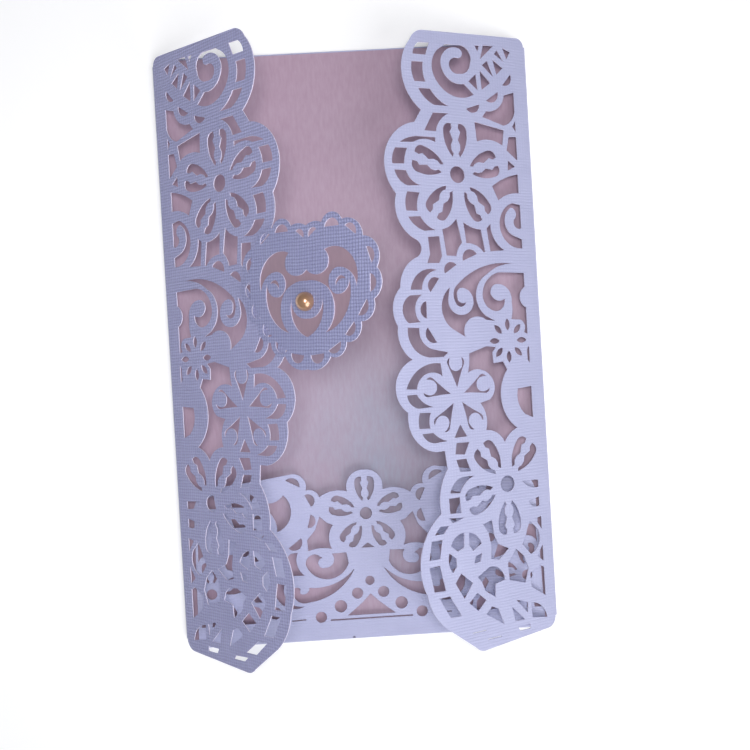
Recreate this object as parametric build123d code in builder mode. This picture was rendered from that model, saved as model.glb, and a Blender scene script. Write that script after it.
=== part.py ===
import math
import os

from build123d import *

# Gate-fold invitation: one lace sheet folded round a pink insert, with a heart clasp on the left gate.
# The card lies on its back. X runs across it, Y up it and Z out of the table. Lengths are millimetres.

# Folded sheet
card_width = 120.0
card_height = 190.0
card_thickness = 0.3
fold_radius = 0.7
corner_radius = 2.6
gate_reach = 53.0
left_gate_angle = 37.8
right_gate_angle = 24.2
flap_side_gap = 3.0
flap_reach = 54.0
flap_angle = 1.2

# Insert
insert_thickness = 0.25
insert_side_gap = 0.4
insert_top_gap = 0.5
insert_foot_gap = 0.6
insert_corner = 1.0

# Heart clasp
heart_width = 51.0
heart_height = 42.0
heart_rise = 12.0
heart_turn = -3.5
heart_thickness = 0.3
backing_thickness = 0.25
pearl_radius = 2.7
pearl_lift = 0.6
pearl_drop_share = 0.02

# Places worked out from the sizes above
fold_outer = fold_radius + card_thickness
half_height = card_height / 2
panel_edge = card_width / 2 - fold_outer
panel_foot = fold_outer - half_height
gate_foot = panel_foot + corner_radius
gate_head = half_height - corner_radius
foot_corner = corner_radius + fold_outer
flap_width = 2 * (panel_edge - flap_side_gap)

# The lace is drawn on charts, as lace makers do.
# One square is the panel's size over the chart's count of squares.
gate_square_shares = (1 / 53, 1 / 190)
flap_square_shares = (1 / 112, 1 / 54)
heart_square_shares = (1 / 51, 1 / 42)
gate_square = (gate_reach * gate_square_shares[0], card_height * gate_square_shares[1])
flap_square = (flap_width * flap_square_shares[0], flap_reach * flap_square_shares[1])
heart_square = (heart_width * heart_square_shares[0], heart_height * heart_square_shares[1])

# In the tables a pair is a corner, and four numbers are the middle and the end of an arc, in chart squares.
# On the gate the first number runs out from the fold and the second up from the card's middle.
gate_edge_shares = [
    (37.4, 93.1), (40, 91.9, 41.5, 89.8), (44.9, 81.6, 39, 68.9), (41.5, 65), (51.3, 57.3, 49.1, 43.2),
    (48.7, 35.2, 42.9, 29.5), (41.6, 26.9, 43.2, 24.4), (47.7, 20.9, 49.5, 15.3), (52.3, 9.7, 51, 3.8),
    (50.4, -2, 46.8, -6.3), (52.8, -13, 49.3, -22), (46.8, -31, 40.5, -34.5), (37.6, -34.4), (37, -40),
    (39.8, -46, 40, -53.2), (47.4, -63.5, 46.4, -77), (44.4, -83, 40.4, -88), (30.4, -95.8),
    (28.8, -97, 26.6, -97.2),
]
fan_shares = [
    [(34.9, 89.6), (38.7, 89.3), (40.2, 87.6, 40.8, 85.5), (36.4, 85.7)],
    [(37.4, 83.5), (41.3, 83.3), (41.5, 80.1, 40.7, 77.3), (36.8, 77.5), (37.6, 80.5, 37.4, 83.5)],
    [(35.4, 75.6), (39.6, 75.4), (37.5, 72.6, 34.4, 70.7), (29, 70.8), (32.6, 72.6, 35.4, 75.6)],
    [(19.8, 75.3), (27, 74, 33.2, 78.4), (34.4, 83.4, 31.9, 88), (29.2, 89.8), (24, 90.2),
     (20.5, 87.9, 20.5, 85), (21.8, 82.3, 24.8, 81.2), (27.7, 82.1, 28.1, 84.6), (26.9, 85.8, 25, 86.1),
     (23.4, 87.7, 24.7, 89.1), (29.3, 87.9, 31.2, 84.2), (29.3, 79.8, 23.2, 78.3)],
    [(5.2, 90.3), (8.2, 91.3), (6.8, 87.7)],
    [(7.9, 86.7), (10.2, 90.3), (11.4, 88.9)],
    [(11.6, 91.4), (15.4, 91.2), (16.8, 86.6)],
    [(16.8, 90.9), (18.6, 90.8), (17.6, 88.8)],
    [(8.4, 84.8), (12.2, 87.2), (10.9, 82.4)],
    [(12.1, 81.4), (14.2, 86.5), (16.2, 84.8)],
    [(13.4, 79.6), (17.2, 83.2), (16.8, 77)],
    [(18.7, 81.8), (21.6, 79.2), (18.3, 76.7)],
    [(5.6, 83.1), (8.9, 79.3), (6, 80.2, 5.6, 83.1)],
    [(10.8, 77), (15.4, 73.8), (12, 73.9, 10.8, 77)],
    [(18, 72.4), (23, 70.6), (19.8, 69.7, 18, 72.4)],
]
web_shares = [
    [(4.7, 77.4), (8.6, 76.1), (10.8, 72.1, 15.6, 70.5), (17.2, 68.5), (9.3, 66.4), (6.9, 67.6, 4.7, 71.2)],
    [(4.7, 68.5), (6, 66.3), (4.7, 64.7)],
    [(9.3, 65), (20.2, 66.8), (19.7, 60.6), (15, 61.5, 10.2, 60)],
    [(4.7, 63.2), (7.6, 63), (8.7, 58.6), (4.7, 55.5)],
    [(5.7, 53.6), (8.4, 55.6), (8.7, 52.2)],
    [(4.9, 51.2), (10, 49.7, 15, 46.9), (12.9, 42.5), (9, 44.6, 4.9, 45.1)],
    [(4.7, 33.9), (7, 34.3, 7.4, 36.6), (6.6, 39, 8.3, 40.4), (10.9, 36.4, 7.5, 31.4), (4.7, 30.4),
     (4.7, 27.5), (12.9, 33.8, 7.6, 41.9), (4.7, 41.4)],
]
ring_shares = [
    [(29.3, 68.6), (34.9, 68.4), (38.3, 62.7), (34.2, 62.7), (32.4, 66.4, 29.3, 68.6)],
    [(34.6, 60.9), (41.2, 60.8), (44.4, 60, 46.9, 58.6), (42.3, 58.9), (38.5, 60.1, 34.6, 59.3)],
    [(44.5, 57), (48.5, 56.9), (49.6, 54.6, 49.8, 52), (45.8, 52.2), (45.4, 54.6, 44.5, 57)],
    [(45.3, 50.3), (49.2, 50.3), (48, 47.6, 45, 45.7), (40.4, 46), (43.4, 47.4, 45.3, 50.3)],
    [(41.1, 43.8), (45.3, 44), (46.2, 41, 46, 38.2), (42.2, 38.2), (42.1, 41, 41.1, 43.8)],
    [(41.3, 36.7), (45.5, 36.4), (43.3, 33.8, 40.2, 32.3), (36.2, 32.6), (39, 34, 41.3, 36.7)],
]
ladder_shares = [
    [(16.4, 35), (18, 33.6), (17, 26.4), (11.6, 26.8), (15, 29.9, 16.4, 35)],
    [(20.1, 33.2), (23.4, 33.8, 26.4, 35.4), (25.7, 28.8), (22.3, 28.2, 19.6, 26.1), (18.9, 26.2)],
    [(28.8, 36.4), (31, 34.2, 34, 32.9), (33, 24.9), (29.5, 24.8), (28.7, 27.1, 27.2, 28.9)],
    [(35.2, 30.8), (39.2, 30.5), (38.8, 25.2), (39.9, 22.6), (35.7, 22.6), (34.6, 24.7)],
]
crescent_shares = [
    [(22.1, 25.5), (25.5, 26.8, 27.3, 23.3)],
    [(29.7, 22.1), (33.1, 22.5, 34, 19.4)],
    [(36.1, 17.9), (39.9, 16.9, 39.3, 13.8)],
    [(41, 11.1), (43.2, 8.6, 41.1, 5.8)],
    [(41, 3.2), (41.4, -0.4, 38.1, -1.4)],
    [(36.6, 20.5), (42.8, 19.7, 46.1, 14.6), (42.2, 14.6), (40.6, 18.5, 36.6, 20.5)],
    [(42.4, 13.1), (46.4, 12.9), (49.2, 9, 47.4, 4.6), (43.4, 4.8), (44.9, 9, 42.4, 13.1)],
    [(43.9, 3.1), (47.8, 3.3), (46.3, -2.9, 41, -5.9), (36, -5.9), (34.4, -4.6), (39, -3.6),
     (42.9, -1.2, 43.9, 3.1)],
]
scroll_shares = [
    [(8.6, 22.5), (21, 21.3, 30.5, 15.4), (31.4, 13, 30.9, 10.8), (29, 9.2, 27, 10.6),
     (29.4, 10.8, 30, 12.6), (29.4, 14.6, 27.9, 15), (24.4, 11.4, 28.4, 6.7), (32.4, 8.4, 33.2, 12),
     (32.5, 15.2), (35.8, 8.8, 32.6, 2.6), (27.9, -0.2), (27.7, 3.6, 24.6, 5.9), (22.4, 6, 20.2, 5),
     (16.6, 4.5), (19.8, 6.1), (23.2, 12, 18.9, 19.1), (14.6, 21.6, 8.6, 22.5)],
    [(4.7, 19.6), (13, 19.8), (18.9, 17.4, 20.9, 12.8), (19.6, 9.3, 16.3, 7.6), (13.5, 8.7, 12.6, 11.5),
     (15.8, 11.1, 17.8, 13.2), (17, 15.4, 14.9, 16.1), (11.1, 14.3, 10.1, 10.3), (10, 7.4, 10.6, 4.9),
     (7.2, 4.7), (5.5, 2.6, 6, 0.7), (4.6, 0), (4.6, 8.6), (6.8, 11.8, 4.7, 15.1)],
    [(4.3, -3.6), (5.2, -4.8), (5.2, -8.2), (4.3, -9.4)],
    [(17, -3.7), (20.6, -3.3), (27, -5.3), (27.2, -8.6), (27.8, -11.2), (23.4, -10.4, 18.8, -14),
     (18.8, -18, 20.6, -20), (24, -20.8), (22.1, -24.6, 22.4, -29.4), (19, -30.2, 15.7, -33.8),
     (13.7, -31.3, 10.6, -29.6), (16.1, -20, 13.2, -10.9), (14.6, -8.3), (18.2, -8.7), (18.4, -5.3)],
    [(4.3, -16.7), (9.6, -17.2), (9.6, -22, 7.2, -25.6), (4.3, -26.8)],
]
loop_ring_shares = [
    [(37.3, -7.8), (44.8, -9.2, 49.5, -15), (45.9, -15.2), (41.8, -10.6, 36.9, -11.8)],
    [(46.1, -16.7), (49.4, -16.8), (48.2, -19.6, 45.5, -21), (40.6, -20.8), (43.9, -19.3, 46.1, -16.7)],
    [(41.6, -22.5), (45.5, -22.3), (46, -24.7, 45.9, -27.1), (42.1, -27.2), (42.3, -24.8, 41.6, -22.5)],
    [(41.2, -28.6), (45, -28.7), (43.3, -30.9, 40.5, -31.8), (36.4, -31.5), (39, -30.4, 41.2, -28.6)],
    [(31.7, -26.8), (34, -30.8), (29.4, -30.7)],
    [(28.8, -32.5), (33.4, -32.4), (34, -35.8), (30.6, -36.2)],
    [(30.2, -37.5), (33.8, -37.5), (32.6, -41.4), (28.7, -41.5)],
    [(27.6, -43), (31.8, -42.9), (35, -44.6, 36.6, -47.5), (33, -47.8), (31.1, -45, 27.6, -43)],
    [(33.3, -49), (37.2, -49), (37, -53.6), (33.1, -53.9)],
    [(3.8, -46.9), (10, -46.6), (7, -48.9, 3.8, -49.3)],
    [(3.8, -52.4), (7.9, -53.3), (6.6, -55, 3.8, -55.2)],
]
rosette_shares = [
    [(32, -55.4), (37.6, -54.9), (36.2, -56.6)],
    [(37.6, -57.2), (40.7, -57), (42.8, -59.4), (39.6, -59.4)],
    [(40.2, -61.1), (44, -61.1), (45.1, -66.7), (41.4, -66.7)],
    [(41.6, -68.7), (45.3, -68.8), (44, -76.4), (40, -76.6)],
    [(38.7, -78.4), (42.4, -78.5), (39, -84.9), (35, -85.1)],
    [(10, -92.2), (14.8, -92.2), (14, -93.8), (9.9, -93.8)],
    [(26.4, -64.2), (28.2, -61.4, 30.8, -60.2), (31, -64), (29.7, -66)],
    [(32.5, -60), (35.5, -60.9, 37.4, -63.4), (35.2, -65.4), (32.8, -64.5)],
    [(38.1, -65.5), (38.5, -68.6, 37.2, -71.7), (35.7, -69.9), (35.8, -67.4)],
    [(30.4, -75.8), (34.4, -72.2), (36.6, -74.9), (33.7, -80.2)],
    [(26.4, -67), (28.9, -67.8), (29.5, -70), (27.3, -69.7)],
    [(29, -79), (32.1, -81.7), (29, -84.8), (25.9, -81.9)],
    [(18.6, -76.7), (20.4, -73, 24, -71.8), (28.6, -74.3), (27.2, -76), (26.1, -79), (22.5, -81.5),
     (22.2, -77.5)],
    [(22.2, -57.5), (25.6, -58.3), (23.7, -61.5), (23, -65.5), (23.3, -69.5), (20.3, -70.2), (16.5, -67.2),
     (20.3, -65.3), (21.6, -62.5)],
    [(8, -59.6), (11.3, -66.7), (8.2, -70.3), (5, -67.6, 5.2, -62.5)],
    [(13.8, -67.7), (17.2, -71.8), (16.9, -77.2), (10.9, -79), (9.4, -74.5), (11, -70.3)],
    [(3.4, -75.2), (5, -74.2), (9, -76.3), (8.7, -80.7), (3.4, -84.3)],
    [(3.4, -58.7), (5.9, -59.3), (3.4, -63)],
    [(3.4, -67.7), (5.7, -71.3), (3.4, -73.2)],
    [(3.2, -91.4), (5, -87.6, 9.2, -85.6), (9, -90.4)],
    [(10.7, -88.6), (10.4, -85.3), (14.8, -83.8)],
    [(11.8, -90.5), (16.6, -85.6), (15.6, -90.4)],
    [(19.8, -90.6), (21.7, -85.3), (24, -84.2), (26.2, -86.3)],
]

# Two windows near the foot are open in the left gate.
# In the right gate their waste is still in place, and only a slit shows under each.
left_foot_shares = [
    [(32.6, -86.9), (36.2, -86.9), (31.3, -91.3), (27, -91.3)],
    [(22.5, -92.9), (27.7, -92.7), (26, -94.2), (21.5, -94.2)],
]
right_foot_shares = [
    [(26.7, -91), (31.6, -91), (31.3, -91.3), (26.4, -91.3)],
    [(21.3, -93.9), (26.3, -93.9), (26, -94.2), (21, -94.2)],
]

flower_center_shares = (27.5, 49.9)
lower_flower_center_shares = (15.6, -46.9)
flower_radius_share = 16.2
flower_hub_share = 0.16
loop_center_shares = (32, -18)
loop_radius_share = 11.8
daisy_center_shares = (12.2, -1.8)
daisy_radius_share = 7

# Motifs that turn about a centre: along and across the petal, as shares of the motif's radius.
petal_shares = [
    (0.33, 0.08), (0.6, 0.235, 0.82, 0.26), (0.95, 0.2, 0.97, 0.08), (0.88, 0.07), (0.81, 0.115),
    (0.66, 0.055), (0.56, 0.1), (0.47, 0.095), (0.4, 0.05),
]
leaf_shares = [(0.46, 0), (0.73, 0.13, 1, 0), (0.73, -0.13, 0.46, 0)]
loop_shares = [
    (0.21, 0), (0.6, 0.15, 0.82, 0.25), (0.93, 0.245, 1, 0.17), (0.92, 0.19, 0.83, 0.195),
    (0.64, 0, 0.83, -0.195), (0.92, -0.19, 1, -0.17), (0.93, -0.245, 0.82, -0.25), (0.6, -0.15, 0.21, 0),
]
petal_count = 5
leaf_count = 8
whole_flower = range(petal_count)
cropped_flower = (0, 1, 3, 4)

# On the flap the first number runs out from the card's middle and the second up from the fold.
# The tables hold the right half; the left half mirrors it.
flap_edge_shares = [
    (0, 53.7), (4.4, 52, 5.7, 47), (10.2, 47.4, 14.7, 45.6), (15.7, 47.3, 18.9, 48),
    (19.7, 52.1, 23.5, 53.5), (33, 52.2), (46, 50.8), (52.2, 48.9, 54.9, 44), (56, 0), (0, 0),
]
flap_side_shares = [
    [(25.2, 51.6), (21.9, 51.9, 20.8, 49.2)],
    [(19.4, 46.6), (16.3, 45.1, 17.5, 42.7)],
    [(17.8, 40.2), (16.3, 38.1, 19, 36)],
    [(25.5, 29.7), (21.6, 29.8, 21.3, 32.8)],
    [(33.4, 49.6), (36.2, 48.6, 36.6, 45.4)],
    [(33.8, 39.8), (34.8, 41, 35.8, 39.7)],
    [(35, 35.6), (36.6, 36.9, 37.7, 36)],
    [(31.2, 34.6), (32.9, 34.7, 33.9, 33.5)],
    [(26.2, 47), (28.3, 45.2, 32.4, 44.8), (32.8, 43.2), (30, 40.4, 28.8, 35.2), (24, 41, 26.2, 47)],
    [(15, 39.4), (12.6, 37.2), (10.8, 36.5), (12.3, 32.8, 11.5, 28.7), (15.2, 29.2, 19.2, 28.4),
     (19.4, 32), (16.6, 35.2)],
    [(7, 27.4), (6.5, 23.8), (13, 19, 20.3, 24), (19.3, 26.5, 16.5, 27.2), (14.8, 26), (16.2, 24, 14, 22.8),
     (11.5, 24, 11.8, 27.2)],
    [(4.6, 22.1), (10.8, 15, 20, 11.8), (24, 12.8, 25, 15.2), (24.2, 16.8, 22.5, 16.4), (22.6, 14.9),
     (21.2, 14.6, 19.6, 16.6), (12.2, 17.2, 4.6, 22.1)],
    [(20.8, 20.6), (25.2, 20.8), (26.8, 24.4, 24.8, 28), (22.6, 28.2), (23, 24, 20.8, 20.6)],
    [(21.3, 10.7), (27.8, 11, 30.7, 15.6), (31.4, 19), (30.2, 20.7), (26.6, 19.6), (27.2, 13.6, 21.3, 10.7)],
    [(21.2, 6.5), (25.8, 6.3), (25.8, 5.9), (21.2, 6.1)],
    [(34, 6), (42, 6), (40.4, 9.2), (38, 11.8), (36, 11.2), (34, 8.6)],
    [(34.8, 12.8), (37.2, 12.9), (38.4, 15), (37.4, 16.6)],
    [(35.2, 26.2), (36.3, 27.9), (36.9, 26)],
    [(40.4, 22.6), (42.4, 23), (45.6, 24.2), (46.6, 26.6), (46, 28.8), (42.6, 28.8)],
    [(39, 37.4), (39.4, 40, 43.2, 40.2), (42.4, 37.4)],
    [(39, 43.8), (39.6, 46.4, 43, 46.8), (42.8, 44)],
    [(47.8, 43.8), (50.6, 44), (50.8, 47.2), (48.4, 48.4)],
    [(51.2, 29.2), (53.6, 28.4, 54.6, 26.8), (54.4, 32.6), (52, 33)],
    [(50.2, 5.8), (51.4, 5.8), (51.2, 8.4), (50.6, 8.4)],
    [(52.8, 5.8), (54.8, 5.8), (54.8, 8.6), (53.4, 11.2), (52.4, 8.4)],
]
flap_middle_shares = [
    [(0, 30.1), (2.2, 28.5), (0, 28.5)],
    [(0, 13.6), (2.8, 10.8), (7.8, 6.8), (0, 6.8)],
    [(0, 5.9), (13.3, 5.9), (13.3, 5.4), (0, 5.4)],
]
flap_dot_shares = [((4.2, 13.9), 1.8), ((9.8, 10), 2), ((16.3, 6.8), 1.8), ((31, 9), 2), ((39.6, 29.3), 1.4)]
flap_top_dot_shares = ((0, 17.8), 1.5)
flap_flower_center_shares = (0, 39.6)
flap_flower_radius_share = 12.2
corner_flower_center_shares = (50.9, 16.4)
corner_flower_radius_share = 10.6
corner_petals = (0, 1, 2)

# The heart is drawn from the clasp's centre, right half only.
heart_edge_shares = [
    (0, 19.8), (2.7, 20.7, 5.6, 20.2), (9.2, 22.6, 12.6, 20.3), (17, 19.7, 19.6, 15.4), (24.4, 12, 24, 7),
    (25.5, 2.5, 23, -1), (22.2, -5.2, 18.8, -6.7), (17.8, -10.5, 13.8, -12), (11.8, -15.5, 8.3, -15.9),
    (5, -19, 0, -19.4),
]
picot_shares = [
    [(0.9, 16.6), (1.6, 18.9, 3.8, 18.6)],
    [(6.6, 18.8), (9.2, 21, 11.7, 18.8)],
    [(13.6, 18.6), (16.6, 18.6, 17.3, 15.9)],
    [(20.6, 12.5), (23.1, 11.2, 22.3, 8.2)],
    [(21.8, 5.6), (23.8, 3, 21.8, 0.8)],
    [(20.6, -0.9), (20.9, -4, 17.8, -5)],
    [(16.4, -6.6), (16.6, -9.4, 13.4, -10)],
    [(11.9, -11.7), (10.9, -14.6, 7.5, -14.3)],
    [(6, -15), (4, -17.8, 1.2, -15.6)],
]
wing_shares = [
    (0, 7.9), (4.3, 6.4, 7.3, 8), (7.9, 10.2, 6.4, 12.9), (15.3, 11.2, 17.4, 2.4), (15.2, 6.5, 11, 7.9),
    (7.9, 4.6, 10.4, 0.8), (13.6, 1.6, 14.9, 5), (14.6, -2.8, 6.6, -9.4), (9.8, -3.2, 7.6, 2.6),
    (4.3, 4.4, 0, 4.8),
]
curl_shares = [(10.5, 2.9), (11.3, 5.4, 13.8, 4.6), (11.7, 4.5, 10.5, 2.9)]
veil_shares = [(0, -5.5), (4.2, -4, 5.6, 0), (5.7, -4.6, 0, -10.6)]
backing_shares = [
    (0, 14.6), (13, 14.2, 19.3, 5), (18, -1.5, 12.2, -7.4), (6.5, -11.6, 0, -13.2),
]


def place(share, square):
    """A chart point in millimetres: the last pair of numbers of a corner or an arc."""
    return (share[-2] * square[0], share[-1] * square[1])


def trace(shares, square):
    """Draw an open chart path in the open line block."""
    for before, share in zip(shares, shares[1:]):
        if len(share) > 2:
            ThreePointArc(place(before, square), place(share[:2], square), place(share, square))
        else:
            Line(place(before, square), place(share, square))


def outline(shares, square):
    """The edges of a closed chart path; a last corner away from the first is joined to it."""
    with BuildLine() as path:
        trace(shares, square)
        if shares[-1][-2:] != shares[0]:
            Line(place(shares[-1], square), place(shares[0], square))
    return path.edges()


def both_halves(shares, square):
    """The edges of a right half that starts and ends on the mirror line, and of its left half."""
    with BuildLine() as path:
        trace(shares, square)
        mirror(about=Plane.YZ)
    return path.edges()


def mirrored(shares):
    """A chart path's mirror image across the panel's middle line."""
    return [tuple(-n if k % 2 == 0 else n for k, n in enumerate(share)) for share in shares]


def cut(shares, square):
    """Cut one closed chart path out of the open sketch."""
    make_face(outline(shares, square), mode=Mode.SUBTRACT)


def cut_pair(shares, square):
    """Cut a path of the right half and its mirror image."""
    cut(shares, square)
    cut(mirrored(shares), square)


def cut_dot(center_shares, radius_share, square):
    """Cut a round hole, sized by the shorter side of the chart's squares."""
    with Locations(place(center_shares, square)):
        Circle(radius_share * min(square), mode=Mode.SUBTRACT)


def turned(shares, center_shares, radius_share, angle, side=1):
    """Place a motif's path about its centre, in chart squares; side -1 flips it across its own axis."""
    cosine = math.cos(math.radians(angle))
    sine = math.sin(math.radians(angle))
    placed = []
    for share in shares:
        point = []
        for along, across in zip(share[0::2], share[1::2]):
            point.append(center_shares[0] + radius_share * (along * cosine - across * sine * side))
            point.append(center_shares[1] + radius_share * (along * sine + across * cosine * side))
        placed.append(tuple(point))
    return placed


def cut_flower(center_shares, radius_share, first_angle, petals, square):
    """Cut a five-petal flower: a round hub and two slits beside each petal's wavy midrib."""
    cut_dot(center_shares, radius_share * flower_hub_share, square)
    for petal in petals:
        angle = first_angle + petal * 360 / petal_count
        cut(turned(petal_shares, center_shares, radius_share, angle), square)
        cut(turned(petal_shares, center_shares, radius_share, angle, -1), square)


# Flat lace of one gate, from its fold at X = 0 to its scalloped free edge
with BuildSketch() as gate_lace:
    with BuildLine():
        CenterArc((corner_radius, gate_head), corner_radius, 90, 90)
        Line((corner_radius, half_height), place(gate_edge_shares[0], gate_square))
        trace(gate_edge_shares, gate_square)
        Line(place(gate_edge_shares[-1], gate_square), (foot_corner, -half_height))
        CenterArc((foot_corner, foot_corner - half_height), foot_corner, 180, 90)
        Line((0, foot_corner - half_height), (0, gate_head))
    make_face()
    for table in (fan_shares, web_shares, ring_shares, ladder_shares, crescent_shares, scroll_shares,
                  loop_ring_shares, rosette_shares):
        for path in table:
            cut(path, gate_square)
    cut_flower(flower_center_shares, flower_radius_share, 90, whole_flower, gate_square)
    cut_flower(lower_flower_center_shares, flower_radius_share, 54, cropped_flower, gate_square)
    for loop in whole_flower:
        angle = 90 + loop * 360 / petal_count
        cut(turned(loop_shares, loop_center_shares, loop_radius_share, angle), gate_square)
    for leaf in range(leaf_count):
        angle = leaf * 360 / leaf_count
        cut(turned(leaf_shares, daisy_center_shares, daisy_radius_share, angle), gate_square)

# Flat lace of the pocket flap, from its fold at Y = 0
with BuildSketch() as flap_lace:
    make_face(both_halves(flap_edge_shares, flap_square))
    for path in flap_side_shares:
        cut_pair(path, flap_square)
    for path in flap_middle_shares:
        make_face(both_halves(path, flap_square), mode=Mode.SUBTRACT)
    for center_shares, radius_share in flap_dot_shares:
        cut_dot(center_shares, radius_share, flap_square)
        cut_dot((-center_shares[0], center_shares[1]), radius_share, flap_square)
    cut_dot(flap_top_dot_shares[0], flap_top_dot_shares[1], flap_square)
    cut_flower(flap_flower_center_shares, flap_flower_radius_share, 90, whole_flower, flap_square)
    for side in (-1, 1):
        center_shares = (side * corner_flower_center_shares[0], corner_flower_center_shares[1])
        petals = [side * petal % petal_count for petal in corner_petals]
        cut_flower(center_shares, corner_flower_radius_share, 90, petals, flap_square)


def gate_plane(side, angle):
    """Where a gate leaves its fold, on its outer face, with X up the gate; side is -1 left and 1 right."""
    sine = math.sin(math.radians(angle))
    cosine = math.cos(math.radians(angle))
    return Plane(
        (side * (panel_edge + fold_outer * sine), 0, fold_outer + fold_outer * cosine),
        x_dir=(-side * cosine, 0, sine),
        z_dir=(-sine, 0, -side * cosine),
    )


flap_sine = math.sin(math.radians(flap_angle))
flap_cosine = math.cos(math.radians(flap_angle))
flap_plane = Plane(
    (0, panel_foot - fold_outer * flap_sine, fold_outer + fold_outer * flap_cosine),
    x_dir=(1, 0, 0),
    z_dir=(0, -flap_sine, flap_cosine),
)

# The whole sheet: back panel, three folds, two gates and the flap, in one solid
with BuildPart() as lace_card:
    with BuildSketch():
        with Locations((0, (half_height + panel_foot) / 2)):
            RectangleRounded(2 * panel_edge, half_height - panel_foot, corner_radius)
    extrude(amount=card_thickness)
    for side, angle, foot_shares in (
        (-1, left_gate_angle, left_foot_shares),
        (1, right_gate_angle, right_foot_shares),
    ):
        with BuildSketch(Plane.YZ.offset(side * panel_edge)):
            with Locations(((gate_head + gate_foot) / 2, card_thickness / 2)):
                Rectangle(gate_head - gate_foot, card_thickness)
        revolve(axis=Axis((side * panel_edge, 0, fold_outer), (0, -side, 0)), revolution_arc=180 - angle)
        with BuildSketch(gate_plane(side, angle)):
            add(gate_lace.sketch)
            for path in foot_shares:
                cut(path, gate_square)
        extrude(amount=side * card_thickness)
    with BuildSketch(Plane.XZ.offset(-panel_foot)):
        with Locations((0, card_thickness / 2)):
            Rectangle(flap_width, card_thickness)
    revolve(axis=Axis((0, panel_foot, fold_outer), (-1, 0, 0)), revolution_arc=180 - flap_angle)
    with BuildSketch(flap_plane):
        add(flap_lace.sketch)
    extrude(amount=-card_thickness)

# Pink sheet on the back panel, its foot behind the flap
insert_width = 2 * (panel_edge - insert_side_gap)
insert_head = half_height - insert_top_gap
insert_foot = panel_foot + insert_foot_gap
with BuildPart() as pink_insert:
    with BuildSketch(Plane.XY.offset(card_thickness)):
        with Locations((0, (insert_head + insert_foot) / 2)):
            RectangleRounded(insert_width, insert_head - insert_foot, insert_corner)
    extrude(amount=insert_thickness)

# Heart clasp on the left gate's outer face, centred on the card when the gates are shut
clasp_place = Location((card_width / 2, heart_rise, 0), (0, 0, heart_turn))
backing_plane = Plane(gate_plane(-1, left_gate_angle).location * clasp_place)
heart_plane = backing_plane.offset(backing_thickness)
pearl_plane = heart_plane.offset(heart_thickness)

with BuildPart() as heart_backing:
    with BuildSketch(backing_plane):
        make_face(both_halves(backing_shares, heart_square))
    extrude(amount=backing_thickness)

with BuildPart() as heart_medallion:
    with BuildSketch(heart_plane):
        make_face(both_halves(heart_edge_shares, heart_square))
        for path in picot_shares:
            cut_pair(path, heart_square)
        cut_pair(curl_shares, heart_square)
        make_face(both_halves(wing_shares, heart_square), mode=Mode.SUBTRACT)
        make_face(both_halves(veil_shares, heart_square), mode=Mode.SUBTRACT)
    extrude(amount=heart_thickness)

# Flat-back pearl: a ball cut off just below its middle
with BuildPart(pearl_plane) as pearl:
    with Locations((0, -pearl_drop_share * heart_height, pearl_lift)):
        Sphere(pearl_radius)
    split(bisect_by=pearl_plane, keep=Keep.TOP)

os.makedirs("parts", exist_ok=True)
lace_card.part.label = "lace_card"
pink_insert.part.label = "pink_insert"
heart_medallion.part.label = "heart_medallion"
heart_backing.part.label = "heart_backing"
pearl.part.label = "pearl"
export_step(lace_card.part, "parts/lace_card.step")
export_step(pink_insert.part, "parts/pink_insert.step")
export_step(heart_medallion.part, "parts/heart_medallion.step")
export_step(heart_backing.part, "parts/heart_backing.step")
export_step(pearl.part, "parts/pearl.step")
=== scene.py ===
import math

import bmesh
import bpy
from mathutils import Euler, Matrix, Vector


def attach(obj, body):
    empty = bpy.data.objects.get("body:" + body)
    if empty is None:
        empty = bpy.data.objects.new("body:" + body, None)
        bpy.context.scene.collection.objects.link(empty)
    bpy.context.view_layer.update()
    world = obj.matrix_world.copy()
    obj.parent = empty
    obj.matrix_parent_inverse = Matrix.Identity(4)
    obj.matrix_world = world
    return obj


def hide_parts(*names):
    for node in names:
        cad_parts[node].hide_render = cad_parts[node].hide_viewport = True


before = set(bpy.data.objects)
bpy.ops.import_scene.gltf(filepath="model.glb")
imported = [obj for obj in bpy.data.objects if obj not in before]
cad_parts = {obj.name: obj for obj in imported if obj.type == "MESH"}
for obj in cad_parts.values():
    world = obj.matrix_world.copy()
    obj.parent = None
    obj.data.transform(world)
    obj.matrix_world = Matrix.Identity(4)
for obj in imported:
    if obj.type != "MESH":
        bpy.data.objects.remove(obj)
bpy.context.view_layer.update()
scene = bpy.context.scene
scene.view_settings.view_transform = "Standard"

mm = 0.001


# node helpers

def addNode(tree, kind, at, **settings):
    node = tree.nodes.new(kind)
    node.location = at
    for key, value in settings.items():
        setattr(node, key, value)
    return node


def mathNode(tree, operation, first, second, at):
    node = addNode(tree, "ShaderNodeMath", at, operation=operation)
    for socket, value in zip(node.inputs, (first, second)):
        if value is None:
            continue
        if isinstance(value, (int, float)):
            socket.default_value = value
        else:
            tree.links.new(value, socket)
    return node.outputs[0]


def newGroup(name, inputs, outputs):
    group = bpy.data.node_groups.new(name, "ShaderNodeTree")
    for label, kind, value in inputs:
        socket = group.interface.new_socket(label, in_out="INPUT", socket_type=kind)
        if value is not None:
            socket.default_value = value
    for label, kind in outputs:
        group.interface.new_socket(label, in_out="OUTPUT", socket_type=kind)
    start = addNode(group, "NodeGroupInput", (-1200, 0))
    end = addNode(group, "NodeGroupOutput", (900, 0))
    return group, start, end


def colourFrom(code):
    parts = [int(code[i:i + 2], 16) / 255 for i in (0, 2, 4)]
    return [p / 12.92 if p <= 0.04045 else ((p + 0.055) / 1.055) ** 2.4 for p in parts] + [1.0]


# shared paper effects

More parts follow.
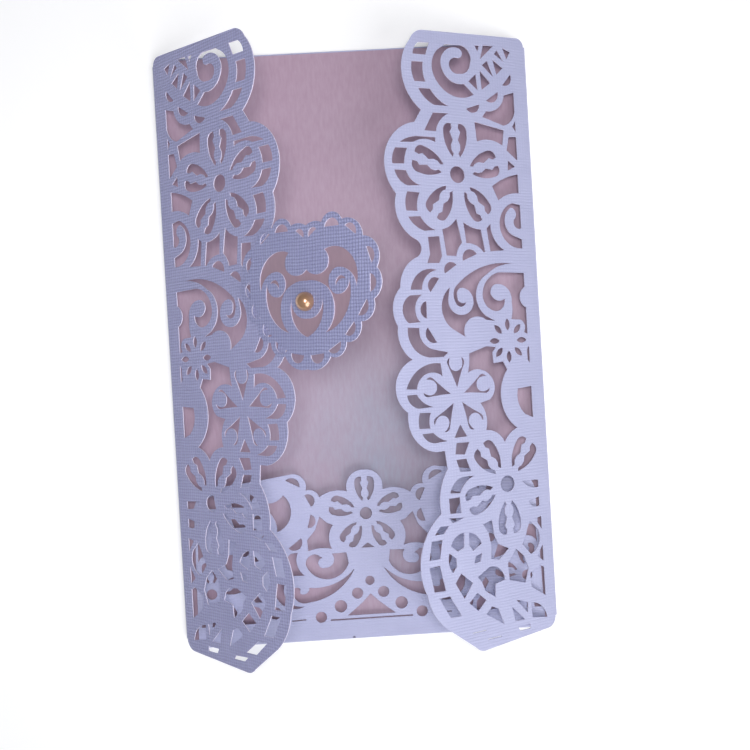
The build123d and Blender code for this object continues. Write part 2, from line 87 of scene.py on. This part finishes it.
weave = {
    "swayScale": 130, "swayDetail": 2, "sway": 0.7,
    "slubScale": 1400, "slubDetail": 1, "slubFloor": 0.45, "slubRun": 0.05,
}
mottleNoise = {"detail": 5, "roughness": 0.6}


def buildLinenGroup():
    group, start, end = newGroup(
        "linenEmboss",
        [
            ("Vector", "NodeSocketVector", None),
            ("Pitch", "NodeSocketFloat", 0.9 * mm),
            ("Warp", "NodeSocketFloat", 0.5),
        ],
        [("Height", "NodeSocketFloat"), ("Valley", "NodeSocketFloat")],
    )
    wander = addNode(group, "ShaderNodeTexNoise", (-1000, -400))
    wander.inputs["Scale"].default_value = weave["swayScale"]
    wander.inputs["Detail"].default_value = weave["swayDetail"]
    group.links.new(start.outputs["Vector"], wander.inputs["Vector"])
    sway = mathNode(group, "MULTIPLY", wander.outputs["Fac"], weave["sway"], (-800, -400))
    apart = addNode(group, "ShaderNodeSeparateXYZ", (-1000, 100))
    group.links.new(start.outputs["Vector"], apart.inputs[0])
    ribs = []
    for axis, run in ((0, (1.0, weave["slubRun"], 1.0)), (1, (weave["slubRun"], 1.0, 1.0))):
        row = 260 - 420 * axis
        thread = mathNode(group, "DIVIDE", apart.outputs[axis], start.outputs["Pitch"], (-800, row))
        thread = mathNode(group, "ADD", thread, sway, (-640, row))
        turn = mathNode(group, "MULTIPLY", thread, math.pi, (-480, row))
        wave = mathNode(group, "SINE", turn, None, (-320, row))
        rib = mathNode(group, "ABSOLUTE", wave, None, (-160, row))
        along = addNode(group, "ShaderNodeVectorMath", (-800, row - 160), operation="MULTIPLY")
        along.inputs[1].default_value = run
        group.links.new(start.outputs["Vector"], along.inputs[0])
        # thick and thin runs along each thread
        slub = addNode(group, "ShaderNodeTexNoise", (-600, row - 160))
        slub.inputs["Scale"].default_value = weave["slubScale"]
        slub.inputs["Detail"].default_value = weave["slubDetail"]
        group.links.new(along.outputs[0], slub.inputs["Vector"])
        swell = mathNode(group, "ADD", slub.outputs["Fac"], weave["slubFloor"], (-320, row - 160))
        ribs.append(mathNode(group, "MULTIPLY", rib, swell, (0, row)))
    rest = mathNode(group, "SUBTRACT", 1.0, start.outputs["Warp"], (0, -300))
    warp = mathNode(group, "MULTIPLY", ribs[0], start.outputs["Warp"], (200, 200))
    weft = mathNode(group, "MULTIPLY", ribs[1], rest, (200, 0))
    height = mathNode(group, "ADD", warp, weft, (400, 100))
    valley = mathNode(group, "SUBTRACT", 1.0, height, (600, -60))
    group.links.new(height, end.inputs["Height"])
    group.links.new(valley, end.inputs["Valley"])
    return group


def buildMottleGroup():
    group, start, end = newGroup(
        "paperMottle",
        [
            ("Vector", "NodeSocketVector", None),
            ("Scale", "NodeSocketFloat", 60.0),
            ("Stretch", "NodeSocketFloat", 1.0),
        ],
        [("Shade", "NodeSocketFloat")],
    )
    squeeze = addNode(group, "ShaderNodeVectorMath", (-900, 0), operation="MULTIPLY")
    join = addNode(group, "ShaderNodeCombineXYZ", (-1060, -200))
    join.inputs[0].default_value = 1.0
    join.inputs[2].default_value = 1.0
    group.links.new(start.outputs["Stretch"], join.inputs[1])
    group.links.new(start.outputs["Vector"], squeeze.inputs[0])
    group.links.new(join.outputs[0], squeeze.inputs[1])
    cloud = addNode(group, "ShaderNodeTexNoise", (-700, 0))
    cloud.inputs["Detail"].default_value = mottleNoise["detail"]
    cloud.inputs["Roughness"].default_value = mottleNoise["roughness"]
    group.links.new(squeeze.outputs[0], cloud.inputs["Vector"])
    group.links.new(start.outputs["Scale"], cloud.inputs["Scale"])
    group.links.new(cloud.outputs["Fac"], end.inputs["Shade"])
    return group


linenGroup = buildLinenGroup()
mottleGroup = buildMottleGroup()
print("paper effects ready")


# paper materials

lilacCard = {
    "low": "A7A9C9", "high": "B7B9D7", "valley": "70709E", "valleyShare": 0.04,
    "pitch": 0.93 * mm, "depth": 0.07 * mm, "warp": 0.25, "cloudScale": 70.0,
    "roughness": 0.55, "sheen": 0.12, "mica": 0.12,
    "edge": "C6C0DE", "edgePale": "E2DCEC",
    "speck": "5D5A72", "speckAt": (-6.1 * mm, -94.4 * mm, 2.0 * mm),
    "speckSize": 0.7 * mm, "speckCore": 0.25,
}
# the left gate's outer face, a shaded copy of the same card: painted shade as a bluer tone and dark
# thread valleys, with a deeper bump
shadedGateCard = dict(lilacCard, low="A7A8D1", high="B7B8DF", valleyShare=0.55, depth=0.26 * mm, warp=0.5)
# the heart keeps the left gate's painted shade in its thread valleys, stronger still
heartCard = dict(shadedGateCard, low="9EA1CA", high="ADB0D7", valleyShare=0.75)
pinkPaper = {
    "low": "AB8FA1", "high": "BAA3B5", "valley": "936E83", "cloudScale": 25.0,
    "grainScale": 1100.0, "grainStretch": 0.22, "grainBump": 0.25, "grainDepth": 0.04 * mm,
    "fibreFloor": 0.36, "fibreShare": 0.8,
    "roughness": 0.48, "sheen": 0.25, "edge": "C4AFC2", "edgePale": "DCCFDA",
    "gloss": 0.5, "glossTint": (0.80, 0.92, 1.0, 1.0),
    # painted sheen: this silvery colour, laid on around a point, stands in for the pearl coat's
    # reflection
    "sheenPaint": "9497AA", "sheenPaintShare": 0.75,
    "sheenPaintAt": (5 * mm, -42 * mm, 0.0), "sheenPaintReach": (52 * mm, 62 * mm, 1.0),
}
backingPaper = dict(pinkPaper, low="9A808E", high="A98F9E", valley="85707F", sheenPaintShare=0.0)
cutEdge = {"roughness": 0.8, "sheen": 0.1, "fluffScale": 1500.0}


def startMaterial(name, roughness, sheen):
    material = bpy.data.materials.new(name)
    material.use_nodes = True
    tree = material.node_tree
    shader = tree.nodes["Principled BSDF"]
    shader.inputs["Roughness"].default_value = roughness
    shader.inputs["Sheen Weight"].default_value = sheen
    return material, tree, shader


def mixColours(tree, factor, first, second, at):
    node = addNode(tree, "ShaderNodeMix", at, data_type="RGBA")
    tree.links.new(factor, node.inputs[0])
    for socket, value in zip((node.inputs[6], node.inputs[7]), (first, second)):
        if isinstance(value, str):
            socket.default_value = colourFrom(value)
        else:
            tree.links.new(value, socket)
    return node.outputs[2]


def placeGroup(tree, group, at, vector, **values):
    node = addNode(tree, "ShaderNodeGroup", at, node_tree=group)
    tree.links.new(vector, node.inputs["Vector"])
    for label, value in values.items():
        node.inputs[label].default_value = value
    return node


def buildLinenCard(name, looks):
    material, tree, shader = startMaterial(name, looks["roughness"], looks["sheen"])
    shader.inputs["Metallic"].default_value = looks["mica"]
    paper = addNode(tree, "ShaderNodeUVMap", (-1200, 0), uv_map="paper").outputs[0]
    linen = placeGroup(tree, linenGroup, (-900, -200), paper, Pitch=looks["pitch"], Warp=looks["warp"])
    mottle = placeGroup(tree, mottleGroup, (-900, 200), paper, Scale=looks["cloudScale"])
    ground = mixColours(tree, mottle.outputs["Shade"], looks["low"], looks["high"], (-600, 200))
    # painted shade: the thread valleys are darkened in colour, as shade in the emboss's recesses
    valleyShadeShare = mathNode(tree, "MULTIPLY", linen.outputs["Valley"], looks["valleyShare"], (-700, -60))
    valleyShaded = mixColours(tree, valleyShadeShare, ground, looks["valley"], (-400, 120))
    place = addNode(tree, "ShaderNodeTexCoord", (-1200, 500)).outputs["Object"]
    # one dark speck by the flap's fold
    away = addNode(tree, "ShaderNodeVectorMath", (-900, 500), operation="DISTANCE")
    away.inputs[1].default_value = looks["speckAt"]
    tree.links.new(place, away.inputs[0])
    near = addNode(tree, "ShaderNodeMapRange", (-700, 500), interpolation_type="SMOOTHSTEP")
    near.inputs["From Min"].default_value = looks["speckSize"]
    near.inputs["From Max"].default_value = looks["speckCore"] * looks["speckSize"]
    tree.links.new(away.outputs["Value"], near.inputs["Value"])
    colour = mixColours(tree, near.outputs[0], valleyShaded, looks["speck"], (-200, 200))
    tree.links.new(colour, shader.inputs["Base Color"])
    bump = addNode(tree, "ShaderNodeBump", (-300, -300))
    bump.inputs["Strength"].default_value = 1.0
    bump.inputs["Distance"].default_value = looks["depth"]
    tree.links.new(linen.outputs["Height"], bump.inputs["Height"])
    tree.links.new(bump.outputs[0], shader.inputs["Normal"])
    return material


def buildPearlPaper(name, looks):
    material, tree, shader = startMaterial(name, looks["roughness"], looks["sheen"])
    paper = addNode(tree, "ShaderNodeUVMap", (-1200, 0), uv_map="paper").outputs[0]
    grain = placeGroup(tree, mottleGroup, (-900, 200), paper,
                       Scale=looks["grainScale"], Stretch=looks["grainStretch"])
    cloud = placeGroup(tree, mottleGroup, (-900, -100), paper, Scale=looks["cloudScale"])
    ground = mixColours(tree, cloud.outputs["Shade"], looks["low"], looks["high"], (-600, 200))
    thin = mathNode(tree, "SUBTRACT", grain.outputs["Shade"], looks["fibreFloor"], (-750, -60))
    fibre = mathNode(tree, "MULTIPLY", thin, looks["fibreShare"], (-600, -60))
    place = addNode(tree, "ShaderNodeTexCoord", (-1400, 500)).outputs["Object"]
    # painted sheen: a silvery, darker patch of colour around the flap's upper edge stands in for the
    # pearl coat's reflection
    off = addNode(tree, "ShaderNodeVectorMath", (-1200, 500), operation="SUBTRACT")
    off.inputs[1].default_value = looks["sheenPaintAt"]
    tree.links.new(place, off.inputs[0])
    share = addNode(tree, "ShaderNodeVectorMath", (-1050, 500), operation="DIVIDE")
    share.inputs[1].default_value = looks["sheenPaintReach"]
    tree.links.new(off.outputs[0], share.inputs[0])
    reach = addNode(tree, "ShaderNodeVectorMath", (-900, 500), operation="LENGTH")
    tree.links.new(share.outputs[0], reach.inputs[0])
    fade = addNode(tree, "ShaderNodeMapRange", (-750, 500), interpolation_type="SMOOTHSTEP")
    fade.inputs["From Min"].default_value = 1.0
    fade.inputs["From Max"].default_value = 0.0
    fade.inputs["To Max"].default_value = 2 * looks["sheenPaintShare"]  # the cloud averages a half
    tree.links.new(reach.outputs["Value"], fade.inputs["Value"])
    sheenPaintMask = mathNode(tree, "MULTIPLY", fade.outputs[0], cloud.outputs["Shade"], (-550, 500))
    rose = mixColours(tree, sheenPaintMask, ground, looks["sheenPaint"], (-400, 300))
    colour = mixColours(tree, fibre, rose, looks["valley"], (-200, 200))
    tree.links.new(colour, shader.inputs["Base Color"])
    shader.inputs["Specular IOR Level"].default_value = looks["gloss"]
    shader.inputs["Specular Tint"].default_value = looks["glossTint"]
    bump = addNode(tree, "ShaderNodeBump", (-300, -300))
    bump.inputs["Strength"].default_value = looks["grainBump"]
    bump.inputs["Distance"].default_value = looks["grainDepth"]
    tree.links.new(grain.outputs["Shade"], bump.inputs["Height"])
    tree.links.new(bump.outputs[0], shader.inputs["Normal"])
    return material


def buildCutEdge(name, looks):
    material, tree, shader = startMaterial(name, cutEdge["roughness"], cutEdge["sheen"])
    place = addNode(tree, "ShaderNodeTexCoord", (-1000, 0)).outputs["Object"]
    fluff = placeGroup(tree, mottleGroup, (-700, 0), place, Scale=cutEdge["fluffScale"])
    # paler cut edges: partly the card's pale core, partly a painted highlight where the edges catch the
    # light
    colour = mixColours(tree, fluff.outputs["Shade"], looks["edge"], looks["edgePale"], (-400, 0))
    tree.links.new(colour, shader.inputs["Base Color"])
    return material


lilacFace = buildLinenCard("lilacLinenCard", lilacCard)
lilacEdge = buildCutEdge("lilacCutEdge", lilacCard)
shadedGateFace = buildLinenCard("shadedGateLinenCard", shadedGateCard)
heartFace = buildLinenCard("heartLinenCard", heartCard)
pinkFace = buildPearlPaper("pinkPearlPaper", pinkPaper)
backingFace = buildPearlPaper("heartBackingPaper", backingPaper)
pinkEdge = buildCutEdge("pinkCutEdge", pinkPaper)
print("paper materials ready")


# paper pieces: a merged copy of each sheet, with the paper's own directions as its UV map

sheetRule = {
    "panelArea": 60 * mm * mm, "foldRun": 80 * mm, "topFacing": 0.9, "leftFacing": -0.4,
    "merge": 0.0005 * mm, "acrossLeast": 0.01, "sharp": 35,
}


def faceKey(face):
    return tuple(round(n, 2) + 0.0 for n in face.normal)


def layPaper(node, piece, faceMaterial, edgeMaterial, turn=0.0, shadedGateMaterial=None):
    shape = bmesh.new()
    shape.from_mesh(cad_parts[node].data)
    bmesh.ops.remove_doubles(shape, verts=shape.verts, dist=sheetRule["merge"])
    shape.normal_update()
    areas = {}
    for face in shape.faces:
        areas[faceKey(face)] = areas.get(faceKey(face), 0.0) + face.calc_area()
    panels = {key for key, area in areas.items() if area > sheetRule["panelArea"]}
    paper = shape.loops.layers.uv.new("paper")
    cosine, sine = math.cos(math.radians(turn)), math.sin(math.radians(turn))
    for face in shape.faces:
        normal = face.normal
        longest = max(edge.calc_length() for edge in face.edges)
        fold = longest > sheetRule["foldRun"] and normal.y < sheetRule["topFacing"]
        isPanel = faceKey(face) in panels
        face.material_index = 0 if isPanel or fold else 1
        # the left gate's outer face gets the painted-shade copy of the card
        if shadedGateMaterial and isPanel and normal.z > 0 and normal.x < sheetRule["leftFacing"]:
            face.material_index = 2
        face.smooth = not isPanel
        across = Vector((normal.z, 0, -normal.x))
        across = across.normalized() if across.length > sheetRule["acrossLeast"] else Vector((1, 0, 0))
        up = normal.cross(across)
        for loop in face.loops:
            u, v = loop.vert.co.dot(across), loop.vert.co.dot(up)
            loop[paper].uv = (u * cosine - v * sine, u * sine + v * cosine)
    mesh = bpy.data.meshes.new(piece)
    shape.to_mesh(mesh)
    shape.free()
    mesh.attributes.remove(mesh.attributes["custom_normal"])  # these belong to the loose triangles
    mesh.materials.append(faceMaterial)
    mesh.materials.append(edgeMaterial)
    if shadedGateMaterial:
        mesh.materials.append(shadedGateMaterial)
    mesh.set_sharp_from_angle(angle=math.radians(sheetRule["sharp"]))
    sheet = bpy.data.objects.new(piece, mesh)
    scene.collection.objects.link(sheet)
    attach(sheet, "root")
    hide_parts(node)
    print(piece, "laid,", len(mesh.polygons), "faces")


layPaper("lace_card", "laceSheet", lilacFace, lilacEdge, shadedGateMaterial=shadedGateFace)
layPaper("pink_insert", "pinkInsert", pinkFace, pinkEdge)
layPaper("heart_medallion", "laceHeart", heartFace, lilacEdge, turn=3.5)
layPaper("heart_backing", "heartBacking", backingFace, pinkEdge)


# pearl

pearlLook = {
    "low": "A87A58", "high": "CFA98B", "cloudScale": 350.0, "sharp": 50,
    "roughness": 0.28, "metal": 0.6, "sheenPaintMask": 1.0, "coatRoughness": 0.08,
}


def buildPearlMaterial(looks):
    material, tree, shader = startMaterial("creamPearl", looks["roughness"], 0.0)
    shader.inputs["Metallic"].default_value = looks["metal"]
    shader.inputs["Coat Weight"].default_value = looks["sheenPaintMask"]
    shader.inputs["Coat Roughness"].default_value = looks["coatRoughness"]
    place = addNode(tree, "ShaderNodeTexCoord", (-1000, 0)).outputs["Object"]
    cloud = placeGroup(tree, mottleGroup, (-700, 0), place, Scale=looks["cloudScale"])
    colour = mixColours(tree, cloud.outputs["Shade"], looks["low"], looks["high"], (-400, 0))
    tree.links.new(colour, shader.inputs["Base Color"])
    return material


def layPearl():
    shape = bmesh.new()
    shape.from_mesh(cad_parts["pearl"].data)
    bmesh.ops.remove_doubles(shape, verts=shape.verts, dist=sheetRule["merge"])
    for face in shape.faces:
        face.smooth = True
    mesh = bpy.data.meshes.new("pearlDome")
    shape.to_mesh(mesh)
    shape.free()
    mesh.attributes.remove(mesh.attributes["custom_normal"])
    mesh.materials.append(buildPearlMaterial(pearlLook))
    mesh.set_sharp_from_angle(angle=math.radians(pearlLook["sharp"]))
    dome = bpy.data.objects.new("pearlDome", mesh)
    scene.collection.objects.link(dome)
    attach(dome, "root")
    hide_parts("pearl")
    print("pearl set")


layPearl()


# floor, light and camera

studio = {
    "floorSize": 6.0, "floorDrop": 0.2 * mm, "floor": "F4F4F4", "floorRoughness": 0.9, "floorGlow": 0.16,
    "sky": (0.90, 0.94, 1.04, 1.0), "skyStrength": 0.22,
    "cameraAt": (1.43 * mm, -8.60 * mm, 250.09 * mm), "cameraTurn": (-0.331, -0.970, -3.375),
    "lens": 36.96, "sensor": 36, "nearClip": 10 * mm,
}
lamps = {
    "front": {
        "from": (0.02, 0.04, 1.0), "far": 0.31, "size": 0.1,
        "power": 0.54, "colour": (1.0, 0.985, 0.98),
    },
    "window": {
        "from": (0.50, -0.62, 0.60), "far": 1.5, "size": 1.2,
        "power": 18.0, "colour": (0.98, 0.985, 1.0),
    },
}


def layFloor():
    shape = bmesh.new()
    bmesh.ops.create_grid(shape, x_segments=1, y_segments=1, size=studio["floorSize"] / 2)
    mesh = bpy.data.meshes.new("paleFloor")
    shape.to_mesh(mesh)
    shape.free()
    material, tree, shader = startMaterial("paleFloor", studio["floorRoughness"], 0.0)
    shader.inputs["Base Color"].default_value = colourFrom(studio["floor"])
    shader.inputs["Emission Color"].default_value = (1, 1, 1, 1)
    ray = addNode(tree, "ShaderNodeLightPath", (-600, -300))
    seen = mathNode(tree, "ADD", ray.outputs["Is Camera Ray"], ray.outputs["Is Glossy Ray"], (-450, -300))
    seen = mathNode(tree, "ADD", seen, ray.outputs["Is Transmission Ray"], (-400, -450))
    glow = mathNode(tree, "MULTIPLY", seen, studio["floorGlow"], (-300, -300))
    tree.links.new(glow, shader.inputs["Emission Strength"])
    mesh.materials.append(material)
    floor = bpy.data.objects.new("paleFloor", mesh)
    floor.location.z = -studio["floorDrop"]
    scene.collection.objects.link(floor)


def addLights():
    for name, lamp in lamps.items():
        light = bpy.data.lights.new(name, "AREA")
        light.energy = lamp["power"]
        light.size = lamp["size"]
        light.color = lamp["colour"]
        stand = bpy.data.objects.new(name, light)
        way = Vector(lamp["from"]).normalized()
        stand.location = way * lamp["far"]
        stand.rotation_mode = "QUATERNION"
        stand.rotation_quaternion = way.to_track_quat("Z", "Y")
        scene.collection.objects.link(stand)
    world = bpy.data.worlds.new("softRoom")
    world.use_nodes = True
    sky = world.node_tree.nodes["Background"]
    sky.inputs["Color"].default_value = studio["sky"]
    sky.inputs["Strength"].default_value = studio["skyStrength"]
    scene.world = world


def addCamera():
    view = bpy.data.cameras.new("photoView")
    view.lens = studio["lens"]
    view.sensor_width = studio["sensor"]
    view.clip_start = studio["nearClip"]
    camera = bpy.data.objects.new("photoView", view)
    camera.location = studio["cameraAt"]
    camera.rotation_euler = Euler([math.radians(a) for a in studio["cameraTurn"]], "XYZ")
    scene.collection.objects.link(camera)
    scene.camera = camera


layFloor()
addLights()
addCamera()
print("studio ready")
